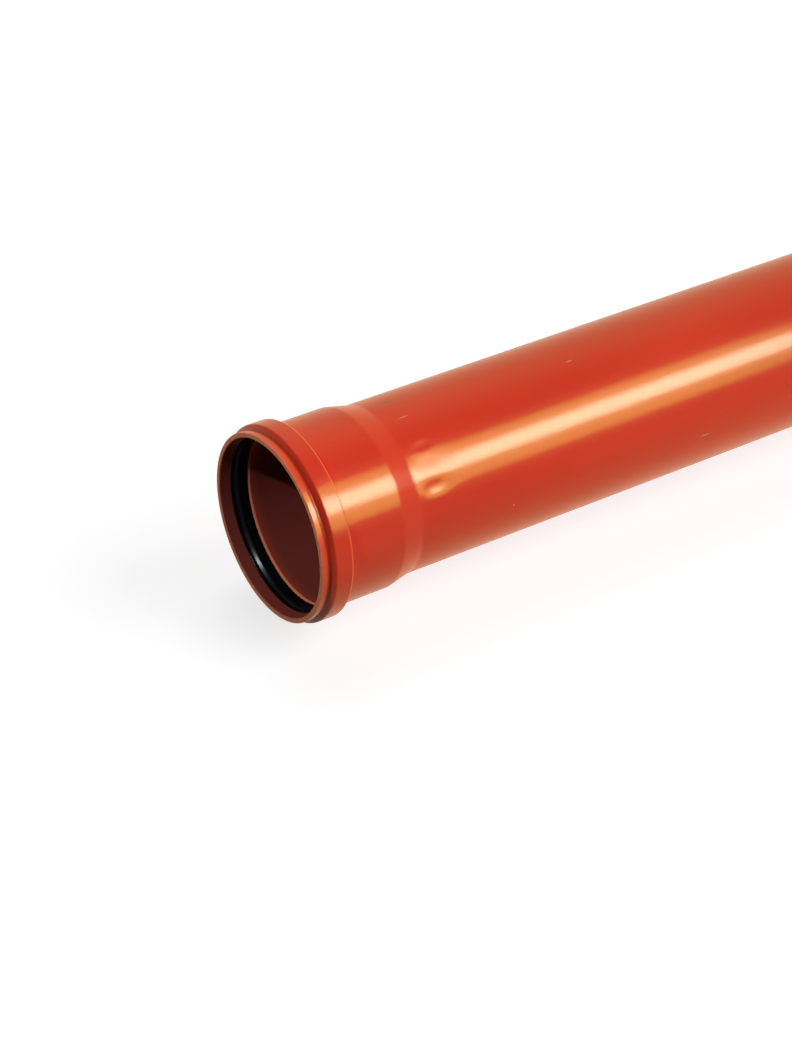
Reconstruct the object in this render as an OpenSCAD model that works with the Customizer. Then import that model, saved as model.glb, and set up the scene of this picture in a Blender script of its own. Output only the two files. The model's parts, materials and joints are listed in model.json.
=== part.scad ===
// Push-fit gravity sewer pipe, lying on a level floor.
// The socket is formed on one end of the barrel and holds a rubber sealing ring in a beaded groove.
// The other end is a plain chamfered spigot, which fits the socket of the next pipe.

/* [Barrel] */
// Outside diameter of the barrel and the spigot
barrel_d = 110; // [90:1:160]
// Wall thickness of the barrel
barrel_wall = 3.2; // [2.2:0.1:4.7]
// Laid length, which the pipe adds to a run once its spigot is seated in the next socket
laid_length = 1000; // [250:50:3000]
// Length of the chamfer on the spigot's end
chamfer_length = 6; // [3:0.5:8]
// Angle of the chamfer on the spigot's end
chamfer_angle = 15; // [10:1:15]

/* [Socket] */
// Depth of the socket, from its mouth to the taper that stops the spigot
socket_depth = 60; // [45:1:90]
// Radial clearance between the socket's bore and a spigot
socket_clearance = 0.3; // [0.2:0.05:0.5]
// Wall thickness of the socket and its lip
socket_wall = 3.2; // [2.6:0.1:4.7]
// Length of the taper between the socket and the barrel
taper_length = 15.6; // [12:0.2:30]
// Radius of the bends at both ends of the taper
taper_bend = 12; // [6:1:20]

/* [Mouth] */
// How far the mouth stands outside the socket's bore
mouth_flare = 1.9; // [1.2:0.05:2.4]
// How far the neck behind the lip stands outside the socket's bore
neck_flare = 0.9; // [0.5:0.05:1]
// Wall thickness at the neck
neck_wall = 2.8; // [2.4:0.1:3]
// Width of the valley's floor, between the lip and the bead
valley_floor = 0.9; // [0.8:0.1:1.5]
// Radius of the mouth's two edges
mouth_rounding = 0.6; // [0.2:0.1:1]

/* [Seal groove] */
// Distance from the mouth to the neck's end, where the groove opens
groove_start = 7.7; // [7.5:0.1:12]
// Length over which the groove's front wall rises
front_run = 2.2; // [1.6:0.1:3]
// Length of the groove's level crown
crown_length = 8.3; // [6:0.1:12]
// Length over which the groove's rear wall drops
rear_run = 1.6; // [0.8:0.1:3]
// Depth of the groove, from the socket's bore
groove_depth = 5.3; // [4.8:0.1:6.5]
// Wall thickness of the bead round the groove
bead_wall = 2.7; // [2.2:0.1:3]
// Radius of the bead's two crests
crest_rounding = 1.5; // [0.8:0.1:2]
// Radius of the other bends of the bead and the groove
groove_bend = 0.7; // [0.3:0.1:0.8]
// Radius of the edge where the groove drops to the socket's bore
heel_rounding = 1.3; // [0.5:0.1:1.6]

/* [Sealing ring] */
// Gap between the ring and the walls of its groove
ring_gap = 0.15; // [0.1:0.05:0.3]
// Gap between the ring's lip and a seated spigot
lip_gap = 0.15; // [0.1:0.05:0.2]
// How far the front of the ring stands back from the neck's bore
ring_recess = 0.3; // [0.2:0.1:0.8]
// Length of the level face at the front of the ring
face_length = 2.3; // [1.5:0.1:3]
// Length of the bevel that leads a spigot in, from the face down to the lip
bevel_length = 2.2; // [1.6:0.1:3.5]
// Radius of the bends at both ends of the bevel
bevel_bend = 1.2; // [0.4:0.1:1.5]
// Distance from the lip's tip to the rear end of the groove
lip_setback = 1; // [0.6:0.1:2]
// Thickness of the lip at its tip
lip_thickness = 1.2; // [0.8:0.1:1.6]
// Height of the ring's heel at the rear wall of the groove
heel_height = 1.8; // [1.2:0.1:2.2]
// Thickness of rubber between the hollow behind the lip and the ring's front edge
ring_web = 5.2; // [4:0.2:6.5]

/* [Hidden] */
$fn = 180;

// Largest turn that one straight facet of a rounded corner makes
arc_step = 12;

// Radii of the barrel and the socket
barrel_r = barrel_d / 2;
bore_r = barrel_r - barrel_wall;
spigot_end_r = barrel_r - chamfer_length * tan(chamfer_angle);
socket_bore_r = barrel_r + socket_clearance;
socket_outer_r = socket_bore_r + socket_wall;
mouth_bore_r = socket_bore_r + mouth_flare;
mouth_outer_r = mouth_bore_r + socket_wall;
neck_bore_r = socket_bore_r + neck_flare;
neck_outer_r = neck_bore_r + neck_wall;

// Places along the pipe, measured from the mouth
taper_end = socket_depth + taper_length;
pipe_length = socket_depth + laid_length;
spigot_start = pipe_length - chamfer_length;
crown_start = groove_start + front_run;
crown_end = crown_start + crown_length;
groove_end = crown_end + rear_run;

// Corners of the groove, each as [distance from the mouth, radius]
groove_neck = [groove_start, neck_bore_r];
groove_front = [crown_start, socket_bore_r + groove_depth];
groove_rear = [crown_end, socket_bore_r + groove_depth];
groove_heel = [groove_end, socket_bore_r];

// Radius of the lip's tip, just clear of a spigot
lip_r = barrel_r + lip_gap;
lip_tip = groove_end - lip_setback;

function unit(v) = v / norm(v);

// Unit normal on the outer side of the line from a to b
function outward(a, b) = unit([a.y - b.y, b.x - a.x]);

// Point at which the line from a to b, moved outwards by s, reaches the radius r
function at_radius(a, b, s, r) =
    let (p = a + outward(a, b) * s, d = b - a)
    p + d * (r - p.y) / d.y;

// Point at which the lines a-b and b-c meet once both are moved outwards by s
function moved_corner(a, b, c, s) =
    let (n = outward(a, b), m = outward(b, c))
    b + (n + m) * s / (1 + n * m);

// Arc of the radius r that rounds the corner b between its neighbours a and c
function rounded_corner(a, b, c, r) =
    let (
        u = unit(a - b),
        v = unit(c - b),
        half = acos(u * v) / 2,
        turn = 180 - 2 * half,
        centre = b + unit(u + v) * r / sin(half),
        from = b + u * r / tan(half) - centre,
        to = b + v * r / tan(half) - centre,
        steps = ceil(turn / arc_step)
    )
    [for (i = [0:steps])
        centre + (sin(turn * (1 - i / steps)) * from + sin(turn * i / steps) * to) / sin(turn)];

// Closed outline through corners of the form [point, rounding], where a rounding of 0 keeps it sharp
function outline(corners) =
    let (count = len(corners))
    [for (i = [0:count - 1])
        let (here = corners[i], before = corners[(i + count - 1) % count], after = corners[(i + 1) % count])
        each here[1] == 0 ? [here[0]] : rounded_corner(before[0], here[0], after[0], here[1])];

// Outside of the lip and bead: the lip drops into a valley at the neck, and the bead follows the groove
valley_end = at_radius(groove_neck, groove_front, bead_wall, neck_outer_r);
valley_start = valley_end - [valley_floor, 0];
lip_end = [valley_start.x - (mouth_outer_r - neck_outer_r), mouth_outer_r];
bead_front = moved_corner(groove_neck, groove_front, groove_rear, bead_wall);
bead_crest = moved_corner(groove_front, groove_rear, groove_heel, bead_wall);
bead_heel = at_radius(groove_rear, groove_heel, bead_wall, socket_outer_r);

pipe_outside = [
    [[0, mouth_outer_r], mouth_rounding],
    [lip_end, groove_bend],
    [valley_start, groove_bend],
    [valley_end, groove_bend],
    [bead_front, crest_rounding],
    [bead_crest, crest_rounding],
    [bead_heel, groove_bend],
    [[socket_depth, socket_outer_r], taper_bend],
    [[taper_end, barrel_r], taper_bend],
    [[spigot_start, barrel_r], 0],
    [[pipe_length, spigot_end_r], 0],
];

pipe_inside = [
    [[pipe_length, bore_r], 0],
    [[taper_end, bore_r], taper_bend],
    [[socket_depth, socket_bore_r], taper_bend],
    [groove_heel, heel_rounding],
    [groove_rear, groove_bend],
    [groove_front, groove_bend],
    [groove_neck, groove_bend],
    [[0, mouth_bore_r], mouth_rounding],
];

// The ring's back follows the groove at ring_gap, and its front edge stands back from the neck
ring_front_r = neck_bore_r + ring_recess;
ring_front = at_radius(groove_neck, groove_front, -ring_gap, ring_front_r);
ring_crown_front = moved_corner(groove_neck, groove_front, groove_rear, -ring_gap);
ring_crown_rear = moved_corner(groove_front, groove_rear, groove_heel, -ring_gap);
heel_r = ring_crown_rear.y - heel_height;
ring_heel = at_radius(groove_rear, groove_heel, -ring_gap, heel_r);
hollow_r = (lip_r + lip_thickness + heel_r) / 2;

// Inside of the ring: a level face behind its front edge, a bevel, and the level lip
face_end = [ring_front.x + face_length, ring_front_r];
bevel_end = [face_end.x + bevel_length, lip_r];

ring_section = [
    [ring_front, 0],
    [ring_crown_front, groove_bend],
    [ring_crown_rear, groove_bend],
    [ring_heel, 0],
    [[ring_front.x + ring_web, hollow_r], 0],
    [[lip_tip, lip_r + lip_thickness], 0],
    [[lip_tip, lip_r], 0],
    [bevel_end, bevel_bend],
    [face_end, bevel_bend],
];

// The pipe rests on the bead's crest and on the edge where the spigot's chamfer starts
crest_centre = bead_crest
    - (outward(groove_front, groove_rear) + outward(groove_rear, groove_heel)) * crest_rounding
    / (1 + outward(groove_front, groove_rear) * outward(groove_rear, groove_heel));
rest_span = [spigot_start, barrel_r] - crest_centre;
rest_tilt = atan(-rest_span.y / rest_span.x) + asin(crest_rounding / norm(rest_span));
rest_height = spigot_start * sin(rest_tilt) + barrel_r * cos(rest_tilt);
middle_x = (pipe_length * cos(rest_tilt) + (spigot_end_r - mouth_outer_r) * sin(rest_tilt)) / 2;

// Turns a section of the form [distance from the mouth, radius] into a solid lying on the floor
module lying_turned(corners) {
    translate([-middle_x, 0, rest_height])
        rotate([0, 90 + rest_tilt, 0])
            rotate_extrude()
                polygon([for (p = outline(corners)) [p.y, p.x]]);
}

module pipe() {
    color([0.78, 0.23, 0.17]) lying_turned(concat(pipe_outside, pipe_inside));
}

module sealing_ring() {
    color([0.08, 0.08, 0.09]) lying_turned(ring_section);
}

pipe();
sealing_ring();
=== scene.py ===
"""A push-fit sewer pipe and its rubber sealing ring, lying on a pale studio floor."""
import json
import math

import bpy
from mathutils import Matrix, Quaternion, Vector


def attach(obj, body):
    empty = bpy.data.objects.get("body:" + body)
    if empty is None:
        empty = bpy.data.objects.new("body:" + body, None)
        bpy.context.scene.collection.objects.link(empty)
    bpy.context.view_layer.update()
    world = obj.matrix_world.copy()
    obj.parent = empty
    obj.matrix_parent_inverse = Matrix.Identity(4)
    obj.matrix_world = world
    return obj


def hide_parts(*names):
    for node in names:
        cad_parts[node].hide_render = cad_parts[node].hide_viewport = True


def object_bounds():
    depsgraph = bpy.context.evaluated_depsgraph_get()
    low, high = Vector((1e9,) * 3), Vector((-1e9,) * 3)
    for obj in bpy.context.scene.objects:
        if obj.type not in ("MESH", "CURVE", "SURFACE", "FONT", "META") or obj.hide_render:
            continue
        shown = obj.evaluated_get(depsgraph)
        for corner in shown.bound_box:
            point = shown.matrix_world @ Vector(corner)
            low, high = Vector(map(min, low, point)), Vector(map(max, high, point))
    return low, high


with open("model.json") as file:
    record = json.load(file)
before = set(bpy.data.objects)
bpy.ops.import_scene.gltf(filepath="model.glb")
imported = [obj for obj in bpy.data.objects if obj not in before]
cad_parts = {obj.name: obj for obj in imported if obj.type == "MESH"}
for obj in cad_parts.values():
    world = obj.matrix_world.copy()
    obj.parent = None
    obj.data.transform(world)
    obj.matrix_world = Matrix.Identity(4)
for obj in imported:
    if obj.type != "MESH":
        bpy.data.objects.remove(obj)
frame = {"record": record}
cad_low, cad_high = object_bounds()

# Sizes in millimetres along and round the pipe; MM turns them into metres
MM = 0.001
mounts = {mount["name"]: mount for mount in frame["record"]["mounts"]}
BARREL_R = mounts["spigot"]["dims"]["r_mm"]
BARREL_BORE_R = mounts["barrel_bore"]["dims"]["r_mm"]
SOCKET_BORE_R = mounts["socket"]["dims"]["r_mm"]
WALL = BARREL_R - BARREL_BORE_R
SOCKET_R = SOCKET_BORE_R + WALL
CREST_R = (cad_high.y - cad_low.y) / 2 / MM

# The lip at the mouth, and the neck behind it
MOUTH_FLARE = 1.9
MOUTH_BORE_R = SOCKET_BORE_R + MOUTH_FLARE
LIP_R = MOUTH_BORE_R + WALL
MOUTH_ROUNDING = 0.6
NECK_FLARE = 0.9
NECK_BORE_R = SOCKET_BORE_R + NECK_FLARE
NECK_WALL = 2.8
NECK_R = NECK_BORE_R + NECK_WALL
NECK_END = 7.7
NECK_ROUNDING = 0.4
VALLEY_FLOOR = 0.9
VALLEY_END = 6.08
VALLEY_START = VALLEY_END - VALLEY_FLOOR
LIP_END = VALLEY_START - (LIP_R - NECK_R)

# The groove for the ring, and the bead round it
GROOVE_DEPTH = 5.3
GROOVE_R = SOCKET_BORE_R + GROOVE_DEPTH
GROOVE_FRONT = 9.9
GROOVE_REAR = 18.2
GROOVE_END = 19.8
HEEL_ROUNDING = 1.3
BEAD_FRONT = 8.23
BEAD_REAR = 20.2
BEAD_END = 21.65
CREST_ROUNDING = 1.5
GROOVE_BEND = 0.7

# The socket's taper, the barrel and the spigot's chamfer
SOCKET_DEPTH = 60.0
TAPER_END = 75.6
TAPER_BEND = 12
PIPE_END = 1060.0
CHAMFER_START = 1054.0
CHAMFER_ANGLE = 15
CHAMFER_ROUNDING = 0.4
CUT_ROUNDING = 0.2
SPIGOT_END_R = BARREL_R - (PIPE_END - CHAMFER_START) * math.tan(math.radians(CHAMFER_ANGLE))

# The sealing ring
RING_FRONT = (8.02, SOCKET_BORE_R + 1.2)
RING_GAP = 0.15
RING_BACK_R = GROOVE_R - RING_GAP
RING_BACK_FRONT = 9.99
RING_BACK_REAR = 18.09
RING_HEEL = (18.63, SOCKET_BORE_R + 3.35)
RING_HOLLOW = (13.22, SOCKET_BORE_R + 2.2)
RING_TIP = (18.8, BARREL_R + 0.15)
RING_TIP_THICKNESS = 1.2
RING_FACE_END = 10.32
RING_BEVEL_END = 12.52
RING_BACK_ROUNDING = 0.6
RING_REAR_ROUNDING = 0.2
RING_TIP_ROUNDING = 0.35
RING_BEVEL_BEND = 3.5
RING_FACE_BEND = 1.2
RING_FRONT_ROUNDING = 0.25

# Parts of the turned outlines: facets round the pipe, and the turn of one facet of a rounded corner
SEGMENTS = 256
FACET_TURN = 9

# Dents just past the taper: distance, angle, half length, half height and depth
DENTS = [
    (88.5, 27.6, 9.4, 4.3, 1.05),
    (89.5, 54.9, 5.5, 3.0, 0.50),
    (88.0, 43.0, 14.0, 8.5, 0.75),
    (90.0, 46.5, 1.6, 2.2, 0.16),
    (89.0, 38.0, 1.4, 1.8, 0.10),
]
DENT_REACH = (76, 118)
DENT_FADE = 8

# Colours of the plastic, in linear light
RED_DEEP = (0.56, 0.018, 0.012, 1)
RED_BRIGHT = (0.62, 0.025, 0.016, 1)
# Inside: a duller brown of the plastic, and partly painted shade that darkens the bore
BORE_BROWN_AND_SHADE = (0.25, 0.048, 0.038, 1)
# Rim and lip: paler where the cut edge is worn, and partly painted light on its rounding
RIM_WEAR_AND_LIGHT = (0.82, 0.225, 0.115, 1)
# Painted shade in the valley between the lip and the bead
VALLEY_PAINTED_SHADE = (0.30, 0.022, 0.016, 1)
# Painted highlight along the bead's rear edge
CREST_PAINTED_HIGHLIGHT = (0.80, 0.15, 0.05, 1)
# Painted shade at the bead's foot
FOOT_PAINTED_SHADE = (0.36, 0.016, 0.012, 1)
# Painted glow on the bore just behind the ring
BORE_PAINTED_GLOW = (0.55, 0.075, 0.045, 1)
# Painted highlight on the heel behind the ring
HEEL_PAINTED_HIGHLIGHT = (0.95, 0.30, 0.16, 1)
CHAMFER_CUT = (0.62, 0.10, 0.045, 1)
SMUDGE_BROWN = (0.20, 0.030, 0.014, 1)
SCRAPED = (0.72, 0.30, 0.20, 1)
SCUFFED = (0.66, 0.12, 0.07, 1)

# Stretches where the plastic is worn, formed or cut, or carries painted shade and highlights: start and end
# from the mouth, and softness
STRETCHES = {
    "rim": (-2.0, 0.5, 0.3),
    "lip": (-2.0, 3.0, 1.2),
    "valley": (4.4, 6.8, 0.7),
    "heel": (18.8, 20.9, 0.5),
    "crest": (19.2, 20.5, 0.35),
    "foot": (21.0, 22.0, 0.4),
    "formed": (21.0, 62.0, 4.0),
    "cut": (CHAMFER_START, PIPE_END + 2, 0.15),
}
BORE_START = (18.2, 18.8)
# Painted glow on the bore behind the ring, full at the second distance and gone by the first
BORE_GLOW_FADE = (29.0, 19.5)

# How much of the dusty sheen each side of the plastic has
OUTSIDE_SHEEN = 0.8
BORE_SHEEN = 0.0

# Colours of the rubber
RUBBER_BLACK = (0.004, 0.004, 0.005, 1)
RUBBER_BLOOM = (0.012, 0.012, 0.013, 1)
RUBBER_SCUFFED = (0.05, 0.05, 0.05, 1)

# Marks on the barrel: middle as (distance, angle), size as (half length, half height)
SMUDGE = ((91.8, 99.3), (6.0, 5.0))
FIRST_SCRAPE = ((90.2, 78.5), (4.2, 0.45))
SCRAPES = (
    ((214.6, 77.0), (3.0, 0.7)),
    ((294.9, -6.6), (4.5, 0.7)),
    ((143.0, -5.0), (0.9, 0.9)),
)

# The studio: the floor, with the stretch past the mouth where it turns pale, the world and the lamps
FLOOR_HALF = 8
FLOOR_GREY = (0.4, 0.4, 0.4, 1)
FLOOR_GLOW = 0.78
FLOOR_DARK = (0.03, 0.03, 0.03, 1)
FLOOR_PALE = (0.85, 0.85, 0.85, 1)
FLOOR_TURNS_PALE = (-0.02, 0.08)
WORLD_LEVEL = 0.02
WHITE = (1.0, 1.0, 1.0)
WARM = (0.8, 1.0, 0.28)
ROSE = (1.0, 0.86, 1.0)
COOL = (0.85, 0.97, 1.0)

# The pipe's axis runs from the mouth to the spigot and dips a little, as the CAD's mounts say
pipe_axis = Vector(mounts["spigot"]["axis"]).normalized()
dip = math.atan2(-pipe_axis.z, pipe_axis.x)
mouth_x = cad_low.x + (LIP_R - MOUTH_ROUNDING) * MM * math.sin(dip)
barrel_middle = Vector(mounts["spigot"]["pos_m"])
mouth = barrel_middle + pipe_axis * ((mouth_x - barrel_middle.x) / pipe_axis.x)
pipe_place = Matrix.Translation(mouth) @ Matrix.Rotation(dip, 4, "Y")


def from_axis(along, radius, round_deg):
    """Point of the pipe's own frame: distance from the mouth, radius, and angle up from the front."""
    angle = math.radians(round_deg)
    return MM * Vector((along, -radius * math.cos(angle), radius * math.sin(angle)))


# ---------------------------------------------------------------- camera

def place_camera():
    """Looks down on the socket's mouth along the pipe, with a long lens."""
    azimuth, elevation = math.radians(-34.08), math.radians(34.06)
    distance, mouth_left, mouth_down = 1.6105, 0.0769, 0.0004
    right = Vector((math.cos(azimuth), math.sin(azimuth), 0))
    back = Vector((
        math.sin(azimuth) * math.cos(elevation),
        -math.cos(azimuth) * math.cos(elevation),
        math.sin(elevation),
    ))
    up = back.cross(right)
    camera = bpy.data.objects.new("camera", bpy.data.cameras.new("camera"))
    bpy.context.collection.objects.link(camera)
    camera.location = mouth + back * distance + right * mouth_left + up * mouth_down
    camera.rotation_mode = "QUATERNION"
    camera.rotation_quaternion = (-back).to_track_quat("-Z", "Y")
    camera.data.lens = 91.26
    camera.data.sensor_width = 36
    camera.data.clip_end = 40
    bpy.context.scene.camera = camera


# ---------------------------------------------------------------- turned shapes

def rounded_corner(before, corner, after, radius):
    """Points of the arc of that radius which rounds a corner between its two neighbours."""
    here = Vector(corner)
    to_before = (Vector(before) - here).normalized()
    to_after = (Vector(after) - here).normalized()
    half = to_before.angle(to_after) / 2
    turn = math.pi - 2 * half
    centre = here + (to_before + to_after).normalized() * radius / math.sin(half)
    start = here + to_before * radius / math.tan(half) - centre
    end = here + to_after * radius / math.tan(half) - centre
    facets = max(2, math.ceil(math.degrees(turn) / FACET_TURN))
    points = []
    for i in range(facets + 1):
        from_start = start * math.sin(turn * (1 - i / facets))
        from_end = end * math.sin(turn * i / facets)
        points.append(centre + (from_start + from_end) / math.sin(turn))
    return points


def outline(corners):
    """Closed outline through corners (distance, radius, rounding); a rounding of 0 keeps one sharp."""
    points = []
    for i, (along, radius, rounding) in enumerate(corners):
        before, after = corners[i - 1][:2], corners[(i + 1) % len(corners)][:2]
        if rounding:
            points += rounded_corner(before, (along, radius), after, rounding)
        else:
            points.append(Vector((along, radius)))
    return points


def with_support(points, spacing):
    """The outline with more points on its straight stretches, spacing(here, after) millimetres apart."""
    from_corner = 0.25
    out = []
    for here, after in zip(points, points[1:] + points[:1]):
        out.append(here)
        length = (after - here).length
        if length < 4 * from_corner:
            continue
        inner = length - 2 * from_corner
        steps = max(1, round(inner / spacing(here, after)))
        out += [here.lerp(after, (from_corner + inner * i / steps) / length) for i in range(steps + 1)]
    return out


def turned(name, points, dent=None):
    """Turns a closed outline round the pipe's axis; dent(distance, angle) moves the surface in or out."""
    vertices = []
    for along, radius in points:
        for k in range(SEGMENTS):
            round_deg = -90 + 360 * k / SEGMENTS
            shift = dent(along, round_deg) if dent else 0
            vertices.append(pipe_place @ from_axis(along, radius + shift, round_deg))
    faces = []
    for i in range(len(points)):
        here, after = i * SEGMENTS, (i + 1) % len(points) * SEGMENTS
        for k in range(SEGMENTS):
            beside = (k + 1) % SEGMENTS
            faces.append((here + k, after + k, after + beside, here + beside))
    mesh = bpy.data.meshes.new(name)
    mesh.from_pydata(vertices, [], faces)
    mesh.validate()
    mesh.shade_smooth()
    piece = bpy.data.objects.new(name, mesh)
    bpy.context.collection.objects.link(piece)
    return piece


def pipe_corners():
    """Outside from the mouth to the spigot, then inside and back."""
    return [
        (0, LIP_R, MOUTH_ROUNDING),
        (LIP_END, LIP_R, GROOVE_BEND),
        (VALLEY_START, NECK_R, GROOVE_BEND),
        (VALLEY_END, NECK_R, GROOVE_BEND),
        (BEAD_FRONT, CREST_R, CREST_ROUNDING),
        (BEAD_REAR, CREST_R, CREST_ROUNDING),
        (BEAD_END, SOCKET_R, GROOVE_BEND),
        (SOCKET_DEPTH, SOCKET_R, TAPER_BEND),
        (TAPER_END, BARREL_R, TAPER_BEND),
        (CHAMFER_START, BARREL_R, CHAMFER_ROUNDING),
        (PIPE_END, SPIGOT_END_R, CUT_ROUNDING),
        (PIPE_END, BARREL_BORE_R, CUT_ROUNDING),
        (TAPER_END, BARREL_BORE_R, TAPER_BEND),
        (SOCKET_DEPTH, SOCKET_BORE_R, TAPER_BEND),
        (GROOVE_END, SOCKET_BORE_R, HEEL_ROUNDING),
        (GROOVE_REAR, GROOVE_R, GROOVE_BEND),
        (GROOVE_FRONT, GROOVE_R, GROOVE_BEND),
        (NECK_END, NECK_BORE_R, NECK_ROUNDING),
        (0, MOUTH_BORE_R, MOUTH_ROUNDING),
    ]


def barrel_dent(along, round_deg):
    """How far the surface stands in or out at a place on the pipe."""
    if not DENT_REACH[0] < along < DENT_REACH[1]:
        return 0
    shift = 0
    for centre, angle, half_length, half_height, depth in DENTS:
        x = (along - centre) / half_length
        y = math.radians(round_deg - angle) * BARREL_R / half_height
        shift -= depth * math.exp(-(x * x + y * y))
    fade = max(0, min(1, (along - DENT_REACH[0]) / DENT_FADE, (DENT_REACH[1] - along) / DENT_FADE))
    return shift * fade * fade * (3 - 2 * fade)


def pipe_spacing(here, after):
    """Rings lie close round the outside of the socket, and far apart on the plain barrel and inside."""
    close, far = 3, 16
    outside = after.x > here.x
    return close if outside and (here.x + after.x) / 2 <= TAPER_END else far


def make_pipe():
    """The pipe, with close rings where the barrel is dented."""
    points = with_support(outline(pipe_corners()), pipe_spacing)
    barrel_start, barrel_end = TAPER_END + 3, CHAMFER_START - 2
    on_barrel = BARREL_R - 0.1
    start = next(i for i, p in enumerate(points) if p.y > on_barrel and p.x > barrel_start)
    kept = [p for p in points if not (p.y > on_barrel and barrel_start < p.x < barrel_end)]
    fine_start, fine_gap, fine_count, coarse_steps = 78.5, 1.1, 36, 54
    fine = [fine_start + fine_gap * i for i in range(fine_count)]
    coarse_start = fine[-1] + 3
    coarse_length = CHAMFER_START - 4 - coarse_start
    coarse = [coarse_start + coarse_length * i / coarse_steps for i in range(coarse_steps + 1)]
    kept[start:start] = [Vector((x, BARREL_R)) for x in fine + coarse]
    return turned("pipe_body", kept, barrel_dent)


def faces_axis(face):
    """Whether a face of the pipe looks at its axis."""
    out = pipe_place.inverted() @ face.center
    normal = pipe_place.to_3x3().inverted() @ face.normal
    return normal.y * out.y + normal.z * out.z < -0.5 * math.hypot(out.y, out.z)


def ring_corners():
    """Back against the groove, then the lip, whose face bevels in from the front edge to its level tip."""
    return [
        (RING_BACK_FRONT, RING_BACK_R, RING_BACK_ROUNDING),
        (RING_BACK_REAR, RING_BACK_R, RING_BACK_ROUNDING),
        (*RING_HEEL, RING_REAR_ROUNDING),
        (*RING_HOLLOW, RING_REAR_ROUNDING),
        (RING_TIP[0], RING_TIP[1] + RING_TIP_THICKNESS, RING_REAR_ROUNDING),
        (*RING_TIP, RING_TIP_ROUNDING),
        (RING_BEVEL_END, RING_TIP[1], RING_BEVEL_BEND),
        (RING_FACE_END, RING_FRONT[1], RING_FACE_BEND),
        (*RING_FRONT, RING_FRONT_ROUNDING),
    ]


def make_ring():
    """The sealing ring, with rings of points a millimetre apart."""
    return turned("rubber_ring", with_support(outline(ring_corners()), lambda here, after: 1))


# ---------------------------------------------------------------- shader helpers

def new_material(name):
    """An empty material with a Principled shader on its output."""
    material = bpy.data.materials.new(name)
    material.use_nodes = True
    tree = material.node_tree
    tree.nodes.clear()
    shader = tree.nodes.new("ShaderNodeBsdfPrincipled")
    output = tree.nodes.new("ShaderNodeOutputMaterial")
    tree.links.new(shader.outputs["BSDF"], output.inputs["Surface"])
    return material, tree, shader


def put(socket, tree, value):
    """Links a socket to a node's output, or sets it to a plain value."""
    if isinstance(value, bpy.types.NodeSocket):
        tree.links.new(value, socket)
    else:
        socket.default_value = value


def math_node(tree, operation, *values, clamp=False):
    node = tree.nodes.new("ShaderNodeMath")
    node.operation = operation
    node.use_clamp = clamp
    for socket, value in zip(node.inputs, values):
        put(socket, tree, value)
    return node.outputs[0]


def times(tree, first, second):
    return math_node(tree, "MULTIPLY", first, second)


def vector_node(tree, operation, first, second=None):
    """Vector maths; for SCALE the second value is a number."""
    node = tree.nodes.new("ShaderNodeVectorMath")
    node.operation = operation
    put(node.inputs[0], tree, first)
    if second is not None:
        put(node.inputs["Scale" if operation == "SCALE" else 1], tree, second)
    return node.outputs["Value" if operation == "DOT_PRODUCT" else "Vector"]


def remap(tree, value, low, high, to_low=0.0, to_high=1.0, smooth=True):
    """A value between low and high moved to the stretch between to_low and to_high."""
    node = tree.nodes.new("ShaderNodeMapRange")
    node.interpolation_type = "SMOOTHSTEP" if smooth else "LINEAR"
    names = ("Value", "From Min", "From Max", "To Min", "To Max")
    for name, given in zip(names, (value, low, high, to_low, to_high)):
        put(node.inputs[name], tree, given)
    return node.outputs["Result"]


def noise(tree, vector, scale, detail, roughness):
    node = tree.nodes.new("ShaderNodeTexNoise")
    put(node.inputs["Vector"], tree, vector)
    node.inputs["Scale"].default_value = scale
    node.inputs["Detail"].default_value = detail
    node.inputs["Roughness"].default_value = roughness
    return node.outputs["Fac"]


def mix_color(tree, factor, first, second):
    node = tree.nodes.new("ShaderNodeMix")
    node.data_type = "RGBA"
    put(node.inputs["Factor"], tree, factor)
    first_color, second_color, mixed_color = 6, 7, 2
    put(node.inputs[first_color], tree, first)
    put(node.inputs[second_color], tree, second)
    return node.outputs[mixed_color]


def tint(tree, color, mask, amount, other):
    """The colour moved by that amount towards another one where the mask is."""
    return mix_color(tree, times(tree, mask, amount), color, other)


def bump(tree, height, distance_mm, strength, normal=None):
    node = tree.nodes.new("ShaderNodeBump")
    node.inputs["Strength"].default_value = strength
    node.inputs["Distance"].default_value = distance_mm * MM
    put(node.inputs["Height"], tree, height)
    if normal is not None:
        put(node.inputs["Normal"], tree, normal)
    return node.outputs["Normal"]


def spot(tree, along, round_deg, mark, soft):
    """Mask of an oval mark on the barrel, which fades over the soft share of its size."""
    (centre, angle), (half_length, half_height) = mark
    x = math_node(tree, "DIVIDE", math_node(tree, "SUBTRACT", along, centre), half_length)
    arc = math.radians(1) * BARREL_R / half_height
    y = times(tree, math_node(tree, "SUBTRACT", round_deg, angle), arc)
    reach = math_node(tree, "SQRT", math_node(tree, "ADD", times(tree, x, x), times(tree, y, y)))
    return remap(tree, reach, 1.0, 1.0 - soft)


def band(tree, along, name):
    """Mask of one of the named stretches along the pipe."""
    start, end, soft = STRETCHES[name]
    rise = remap(tree, along, start - soft, start + soft)
    fall = remap(tree, along, end + soft, end - soft)
    return times(tree, rise, fall)


# ---------------------------------------------------------------- effects that the materials share

def make_group(name, inputs, outputs):
    tree = bpy.data.node_groups.new(name, "ShaderNodeTree")
    for label, kind in inputs:
        tree.interface.new_socket(label, in_out="INPUT", socket_type=kind)
    for label, kind in outputs:
        tree.interface.new_socket(label, in_out="OUTPUT", socket_type=kind)
    return tree, tree.nodes.new("NodeGroupInput"), tree.nodes.new("NodeGroupOutput")


def place_group(tree, group, **values):
    node = tree.nodes.new("ShaderNodeGroup")
    node.node_tree = group
    for label, value in values.items():
        put(node.inputs[label.replace("_", " ")], tree, value)
    return node


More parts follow.
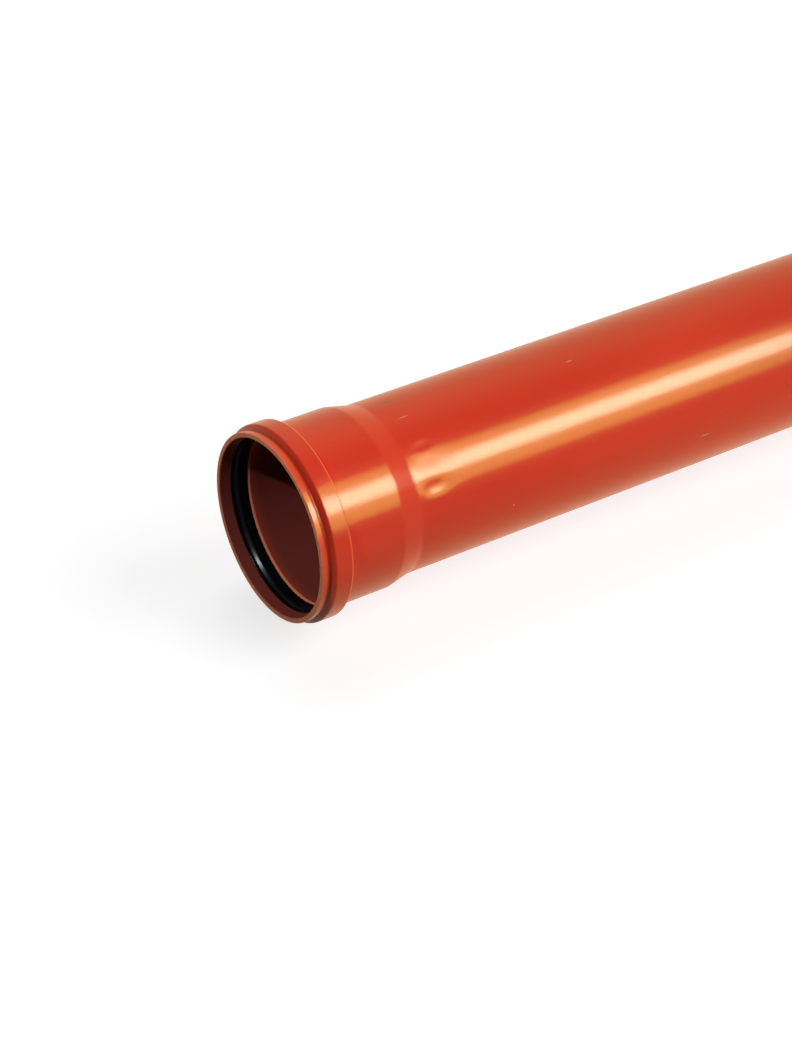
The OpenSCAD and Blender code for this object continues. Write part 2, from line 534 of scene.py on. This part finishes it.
def build_pipe_coordinates():
    """Place on the pipe in millimetres, distance from the mouth, degrees round, and facing inwards."""
    group, _, out = make_group("pipe_coordinates", [], [
        ("Place", "NodeSocketVector"),
        ("Along", "NodeSocketFloat"),
        ("Round", "NodeSocketFloat"),
        ("Inside", "NodeSocketFloat"),
    ])
    coordinates = group.nodes.new("ShaderNodeTexCoord")
    into_pipe_frame = group.nodes.new("ShaderNodeMapping")
    into_pipe_frame.vector_type = "TEXTURE"
    into_pipe_frame.inputs["Location"].default_value = mouth
    into_pipe_frame.inputs["Rotation"].default_value = (0, dip, 0)
    into_pipe_frame.inputs["Scale"].default_value = (MM, MM, MM)
    group.links.new(coordinates.outputs["Object"], into_pipe_frame.inputs["Vector"])
    place = into_pipe_frame.outputs["Vector"]
    split = group.nodes.new("ShaderNodeSeparateXYZ")
    group.links.new(place, split.inputs[0])
    to_front = times(group, split.outputs["Y"], -1.0)
    angle = math_node(group, "ARCTAN2", split.outputs["Z"], to_front)
    outward = vector_node(group, "NORMALIZE", vector_node(group, "MULTIPLY", place, (0, 1, 1)))
    facing = vector_node(group, "DOT_PRODUCT", outward, coordinates.outputs["Normal"])
    group.links.new(place, out.inputs["Place"])
    group.links.new(split.outputs["X"], out.inputs["Along"])
    group.links.new(math_node(group, "DEGREES", angle), out.inputs["Round"])
    group.links.new(remap(group, facing, 0.1, -0.3), out.inputs["Inside"])
    return group


def build_drawn_lines():
    """Fine lines along the pipe, as a die leaves them: one value that changes round the pipe only."""
    group, given, out = make_group(
        "drawn_lines",
        [("Place", "NodeSocketVector"), ("Fineness", "NodeSocketFloat")],
        [("Lines", "NodeSocketFloat")],
    )
    squeezed = vector_node(group, "MULTIPLY", given.outputs["Place"], (0.004, 1, 1))
    scaled = vector_node(group, "SCALE", squeezed, given.outputs["Fineness"])
    lines = noise(group, scaled, scale=1.0, detail=4.0, roughness=0.6)
    group.links.new(lines, out.inputs["Lines"])
    return group


def build_handling_scuffs():
    """Short faint scratches and rubbed patches from handling: a mask."""
    group, given, out = make_group(
        "handling_scuffs",
        [("Place", "NodeSocketVector"), ("Amount", "NodeSocketFloat")],
        [("Mask", "NodeSocketFloat")],
    )
    place = given.outputs["Place"]
    turned_place = group.nodes.new("ShaderNodeVectorRotate")
    turned_place.inputs["Axis"].default_value = (0.2, 0.9, 0.35)
    turned_place.inputs["Angle"].default_value = 0.5
    group.links.new(place, turned_place.inputs["Vector"])
    long_way = vector_node(group, "MULTIPLY", turned_place.outputs[0], (0.03, 1.1, 1.1))
    strokes = remap(group, noise(group, long_way, scale=1.0, detail=2.0, roughness=0.5), 0.68, 0.76)
    patches = remap(group, noise(group, place, scale=0.03, detail=3.0, roughness=0.6), 0.5, 0.62)
    mask = times(group, times(group, strokes, patches), given.outputs["Amount"])
    group.links.new(mask, out.inputs["Mask"])
    return group


def build_fine_grain():
    """Small uneven grain of a moulded or drawn surface: a height."""
    group, given, out = make_group(
        "fine_grain",
        [("Place", "NodeSocketVector"), ("Grain Size", "NodeSocketFloat")],
        [("Height", "NodeSocketFloat")],
    )
    fineness = math_node(group, "DIVIDE", 1.0, given.outputs["Grain Size"])
    shrunk = vector_node(group, "SCALE", given.outputs["Place"], fineness)
    height = noise(group, shrunk, scale=1.0, detail=3.0, roughness=0.55)
    group.links.new(height, out.inputs["Height"])
    return group


# ---------------------------------------------------------------- plastic of the pipe

def plastic_masks(tree, where):
    """Where the plastic is inside, worn or cut, and where shade, highlights and a glow are painted, by the
    distance from the mouth.
    """
    along, inside = where.outputs["Along"], where.outputs["Inside"]
    outside = math_node(tree, "SUBTRACT", 1.0, inside)
    worn = noise(tree, where.outputs["Place"], scale=0.35, detail=4.0, roughness=0.6)
    lip = times(tree, band(tree, along, "lip"), 0.2)
    rim = math_node(tree, "MAXIMUM", band(tree, along, "rim"), times(tree, lip, outside))
    past_groove = times(tree, remap(tree, along, *BORE_START), inside)
    return {
        "inside": inside,
        "outside": outside,
        "worn": worn,
        # The rim's pale worn edge, partly painted light
        "edge": times(tree, rim, remap(tree, worn, 0.25, 0.6, 0.6, 1.0)),
        # Painted shade in the valley
        "valley": times(tree, band(tree, along, "valley"), outside),
        # Painted highlight on the bead's rear edge
        "crest": times(tree, band(tree, along, "crest"), outside),
        # Painted shade at the bead's foot
        "foot": times(tree, band(tree, along, "foot"), outside),
        # Painted glow on the bore behind the ring
        "bore_painted_glow": times(tree, remap(tree, along, *BORE_GLOW_FADE), past_groove),
        # Painted highlight on the heel
        "heel": times(tree, band(tree, along, "heel"), inside),
        "cut": band(tree, along, "cut"),
    }


def barrel_marks(tree, where, worn, scuff_group):
    """Masks of the brown smudge, the pale scrapes and the scuffs."""
    along, round_deg = where.outputs["Along"], where.outputs["Round"]
    smudge = spot(tree, along, round_deg, SMUDGE, soft=1.0)
    scrapes = spot(tree, along, round_deg, FIRST_SCRAPE, soft=0.7)
    for mark in SCRAPES:
        scrapes = math_node(tree, "MAXIMUM", scrapes, spot(tree, along, round_deg, mark, soft=0.8))
    return {
        "smudge": times(tree, smudge, remap(tree, worn, 0.3, 0.7, 0.5, 1.0)),
        "scrapes": scrapes,
        "scuffs": place_group(tree, scuff_group, Place=where.outputs["Place"], Amount=0.5).outputs["Mask"],
    }


def plastic_color(tree, place, masks):
    """Orange red outside; darker and browner inside, partly as painted shade; paler on the worn cut rim,
    partly as painted light; with painted shade, highlights and glow round the ring's groove.
    """
    drift = noise(
        tree, vector_node(tree, "MULTIPLY", place, (0.006, 0.03, 0.03)), scale=1.0, detail=3.0, roughness=0.5)
    color = mix_color(tree, remap(tree, drift, 0.3, 0.7), RED_DEEP, RED_BRIGHT)
    for name, amount, other in (
        ("inside", 1.0, BORE_BROWN_AND_SHADE),
        ("edge", 1.0, RIM_WEAR_AND_LIGHT),
        ("valley", 0.6, VALLEY_PAINTED_SHADE),
        ("crest", 0.55, CREST_PAINTED_HIGHLIGHT),
        ("foot", 0.4, FOOT_PAINTED_SHADE),
        ("bore_painted_glow", 0.6, BORE_PAINTED_GLOW),
        ("heel", 1.0, HEEL_PAINTED_HIGHLIGHT),
        ("cut", 0.6, CHAMFER_CUT),
        ("smudge", 0.75, SMUDGE_BROWN),
        ("scrapes", 0.75, SCRAPED),
        ("scuffs", 0.35, SCUFFED),
    ):
        color = tint(tree, color, masks[name], amount, other)
    return color


def plastic_roughness(tree, lines, masks):
    """Glossy outside with drawn lines, dull inside, matt where it was cut or scraped."""
    rough = remap(tree, lines, 0.3, 0.7, 0.16, 0.21)
    for name, added in (("inside", 0.75), ("edge", 0.1), ("cut", 0.25), ("scuffs", 0.2), ("scrapes", 0.2)):
        rough = math_node(tree, "ADD", rough, times(tree, masks[name], added), clamp=True)
    return rough


def plastic_relief(tree, where, lines, masks, grain_group):
    """Drawn lines, a faint orange peel, tool marks round the chamfer and forming lines of the socket."""
    place, along = where.outputs["Place"], where.outputs["Along"]
    normal = bump(tree, lines, distance_mm=0.03, strength=0.35)
    grain = place_group(tree, grain_group, Place=place, Grain_Size=2.6).outputs["Height"]
    normal = bump(tree, grain, distance_mm=0.03, strength=0.16, normal=normal)
    turning = times(tree, math_node(tree, "SINE", times(tree, along, 14.0)), masks["cut"])
    normal = bump(tree, turning, distance_mm=0.02, strength=0.6, normal=normal)
    formed = times(tree, band(tree, along, "formed"), masks["outside"])
    rings = noise(
        tree, vector_node(tree, "MULTIPLY", place, (0.9, 0.02, 0.02)), scale=1.0, detail=3.0, roughness=0.6)
    return bump(tree, times(tree, rings, formed), distance_mm=0.04, strength=0.3, normal=normal)


def pipe_material(groups, name, sheen):
    """The pipe's plastic, the same on both sides but for its sheen."""
    material, tree, shader = new_material(name)
    where = place_group(tree, groups["coordinates"])
    place = where.outputs["Place"]
    masks = plastic_masks(tree, where)
    masks.update(barrel_marks(tree, where, masks["worn"], groups["scuffs"]))
    lines = place_group(tree, groups["lines"], Place=place, Fineness=0.9).outputs["Lines"]
    tree.links.new(plastic_color(tree, place, masks), shader.inputs["Base Color"])
    tree.links.new(plastic_roughness(tree, lines, masks), shader.inputs["Roughness"])
    tree.links.new(plastic_relief(tree, where, lines, masks, groups["grain"]), shader.inputs["Normal"])
    for socket, value in (
        ("IOR", 1.5),
        ("Specular IOR Level", 0.15),
        ("Specular Tint", (0.6, 1.0, 0.6, 1)),
        ("Sheen Weight", sheen),
        ("Sheen Roughness", 0.5),
        ("Sheen Tint", (1.0, 0.37, 0.0, 1)),
    ):
        shader.inputs[socket].default_value = value
    return material


# ---------------------------------------------------------------- rubber of the ring

def rubber_material(groups):
    """Black rubber with a faint grey bloom, scuffs and a fine grain."""
    material, tree, shader = new_material("seal_rubber")
    place = place_group(tree, groups["coordinates"]).outputs["Place"]
    scuffs = place_group(tree, groups["scuffs"], Place=place, Amount=0.8).outputs["Mask"]
    bloom = remap(tree, noise(tree, place, scale=0.12, detail=4.0, roughness=0.6), 0.45, 0.75)
    color = tint(tree, RUBBER_BLACK, bloom, 0.5, RUBBER_BLOOM)
    color = tint(tree, color, scuffs, 0.5, RUBBER_SCUFFED)
    tree.links.new(color, shader.inputs["Base Color"])
    rough = remap(tree, bloom, 0.0, 1.0, 0.24, 0.30)
    rough = math_node(tree, "ADD", rough, times(tree, scuffs, 0.2))
    tree.links.new(rough, shader.inputs["Roughness"])
    grain = place_group(tree, groups["grain"], Place=place, Grain_Size=0.7).outputs["Height"]
    normal = bump(tree, grain, distance_mm=0.04, strength=0.25)
    tree.links.new(normal, shader.inputs["Normal"])
    shader.inputs["Specular IOR Level"].default_value = 0.03
    return material


# ---------------------------------------------------------------- studio

def bright_to_eye(tree):
    """1 for camera, glossy and transmission rays, 0 for the rest."""
    path = tree.nodes.new("ShaderNodeLightPath")
    glossy = math_node(tree, "MAXIMUM", path.outputs["Is Glossy Ray"], path.outputs["Is Transmission Ray"])
    return math_node(tree, "MAXIMUM", path.outputs["Is Camera Ray"], glossy)


def floor_material():
    """White to the eye with soft shadows; its light comes back up under the barrel, not into the mouth."""
    material = bpy.data.materials.new("studio_floor")
    material.use_nodes = True
    tree = material.node_tree
    tree.nodes.clear()
    seen = tree.nodes.new("ShaderNodeBsdfDiffuse")
    seen.inputs["Color"].default_value = FLOOR_GREY
    glow = tree.nodes.new("ShaderNodeEmission")
    glow.inputs["Strength"].default_value = FLOOR_GLOW
    pale = tree.nodes.new("ShaderNodeAddShader")
    tree.links.new(seen.outputs[0], pale.inputs[0])
    tree.links.new(glow.outputs[0], pale.inputs[1])
    place = tree.nodes.new("ShaderNodeSeparateXYZ")
    tree.links.new(tree.nodes.new("ShaderNodeTexCoord").outputs["Object"], place.inputs[0])
    start, end = (mouth.x + past_mouth for past_mouth in FLOOR_TURNS_PALE)
    under_barrel = remap(tree, place.outputs["X"], start, end)
    bounce = tree.nodes.new("ShaderNodeBsdfDiffuse")
    tree.links.new(mix_color(tree, under_barrel, FLOOR_DARK, FLOOR_PALE), bounce.inputs["Color"])
    mix = tree.nodes.new("ShaderNodeMixShader")
    tree.links.new(bright_to_eye(tree), mix.inputs[0])
    tree.links.new(bounce.outputs[0], mix.inputs[1])
    tree.links.new(pale.outputs[0], mix.inputs[2])
    output = tree.nodes.new("ShaderNodeOutputMaterial")
    tree.links.new(mix.outputs[0], output.inputs["Surface"])
    return material


def make_floor():
    """A level square of floor."""
    mesh = bpy.data.meshes.new("studio_floor")
    half = FLOOR_HALF
    corners = [(-half, -half, 0), (half, -half, 0), (half, half, 0), (-half, half, 0)]
    mesh.from_pydata(corners, [], [(0, 1, 2, 3)])
    floor = bpy.data.objects.new("studio_floor", mesh)
    bpy.context.collection.objects.link(floor)
    mesh.materials.append(floor_material())


def make_world():
    """White to the eye, and nearly no light of its own."""
    world = bpy.data.worlds.new("studio")
    bpy.context.scene.world = world
    world.use_nodes = True
    tree = world.node_tree
    background = tree.nodes["Background"]
    background.inputs["Color"].default_value = (1, 1, 1, 1)
    strength = remap(tree, bright_to_eye(tree), 0.0, 1.0, WORLD_LEVEL, 1.0, smooth=False)
    tree.links.new(strength, background.inputs["Strength"])


def toward(azimuth, elevation):
    """Direction from the pipe to a lamp: azimuth 0 is the front, 90 the spigot's end."""
    a, e = math.radians(azimuth), math.radians(elevation)
    return Vector((math.sin(a) * math.cos(e), -math.cos(a) * math.cos(e), math.sin(e)))


def add_lamp(name, kind, back, location, color):
    """A lamp that shines against the direction back."""
    data = bpy.data.lights.new(name, kind)
    data.color = color
    lamp = bpy.data.objects.new(name, data)
    bpy.context.collection.objects.link(lamp)
    lamp.location = location
    lamp.rotation_mode = "QUATERNION"
    lamp.rotation_quaternion = (-back).to_track_quat("-Z", "Y")
    return lamp


def softbox(name, target, direction, distance, size, radiance, color=WHITE, roll_deg=0):
    """A rectangular lamp that faces a point; a white surface right against it would show the radiance."""
    back = toward(*direction)
    lamp = add_lamp(name, "AREA", back, target + back * distance, color)
    lamp.rotation_quaternion = lamp.rotation_quaternion @ Quaternion((0, 0, 1), math.radians(roll_deg))
    lamp.data.shape = "RECTANGLE"
    lamp.data.size, lamp.data.size_y = size
    lamp.data.energy = radiance * size[0] * size[1] * math.pi
    return lamp


def soft_sun(name, direction, level):
    """Even soft light over the whole floor; a white surface that faces it shows the level."""
    height, sun_angle = 3, 40
    back = toward(*direction)
    lamp = add_lamp(name, "SUN", back, back * height, WHITE)
    lamp.data.angle = math.radians(sun_angle)
    lamp.data.energy = level * math.pi
    lamp.visible_glossy = False


def fall_on(lamp, pieces):
    """Lets a lamp light only these pieces."""
    lit = bpy.data.collections.new(lamp.name + "_falls_on")
    for piece in pieces:
        lit.objects.link(piece)
    lamp.light_linking.receiver_collection = lit


def make_highlight_lamps():
    """Softboxes along the barrel, clear of the mouth: a wide warm one, and a bright core end to end."""
    middle = pipe_place @ (Vector((700, 0, 0)) * MM)
    wide = softbox(
        "wide_softbox", middle, direction=(0, 36), distance=1.1, size=(1.1, 1.0), radiance=16.5,
        color=WARM)
    core = softbox(
        "softbox_core", middle, direction=(0, 38.5), distance=1.09, size=(1.1, 0.34), radiance=48.0,
        color=ROSE)
    wide.visible_diffuse = False
    core.visible_diffuse = False


def make_even_light():
    """Even light from the spigot's side, high and low, and weaker from behind."""
    soft_sun("studio_light", direction=(50, 38), level=0.49)
    soft_sun("low_light", direction=(28, 6), level=0.54)
    soft_sun("light_from_behind", direction=(150, 50), level=0.38)


def make_mouth_lamps(body, ring):
    """A lamp high on the left that shines into the mouth, and one that only glints on the rubber."""
    mouth_lamp = softbox(
        "mouth_light", mouth, direction=(-74.2, 51.0), distance=1.3, size=(0.05, 0.05), radiance=760.0)
    mouth_lamp.visible_glossy = False
    fall_on(mouth_lamp, (body, ring))
    glint = softbox(
        "rubber_glint", mouth, direction=(-74.2, 49.6), distance=1.3, size=(0.1, 0.9), radiance=560.0,
        color=COOL, roll_deg=-29)
    glint.visible_diffuse = False
    fall_on(glint, (ring,))


# ---------------------------------------------------------------- the scene

place_camera()
body = make_pipe()
ring = make_ring()
groups = {
    "coordinates": build_pipe_coordinates(),
    "lines": build_drawn_lines(),
    "scuffs": build_handling_scuffs(),
    "grain": build_fine_grain(),
}
body.data.materials.append(pipe_material(groups, "pipe_plastic", OUTSIDE_SHEEN))
body.data.materials.append(pipe_material(groups, "pipe_bore_plastic", BORE_SHEEN))
for face in body.data.polygons:
    if faces_axis(face):
        face.material_index = 1
ring.data.materials.append(rubber_material(groups))
for piece, node, slot_name in ((body, "pipe", "pipe_plastic"), (ring, "sealing_ring", "seal_rubber")):
    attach(piece, "root")
    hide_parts(node)
make_floor()
make_world()
make_highlight_lamps()
make_even_light()
make_mouth_lamps(body, ring)

scene = bpy.context.scene
scene.view_settings.view_transform = "Standard"
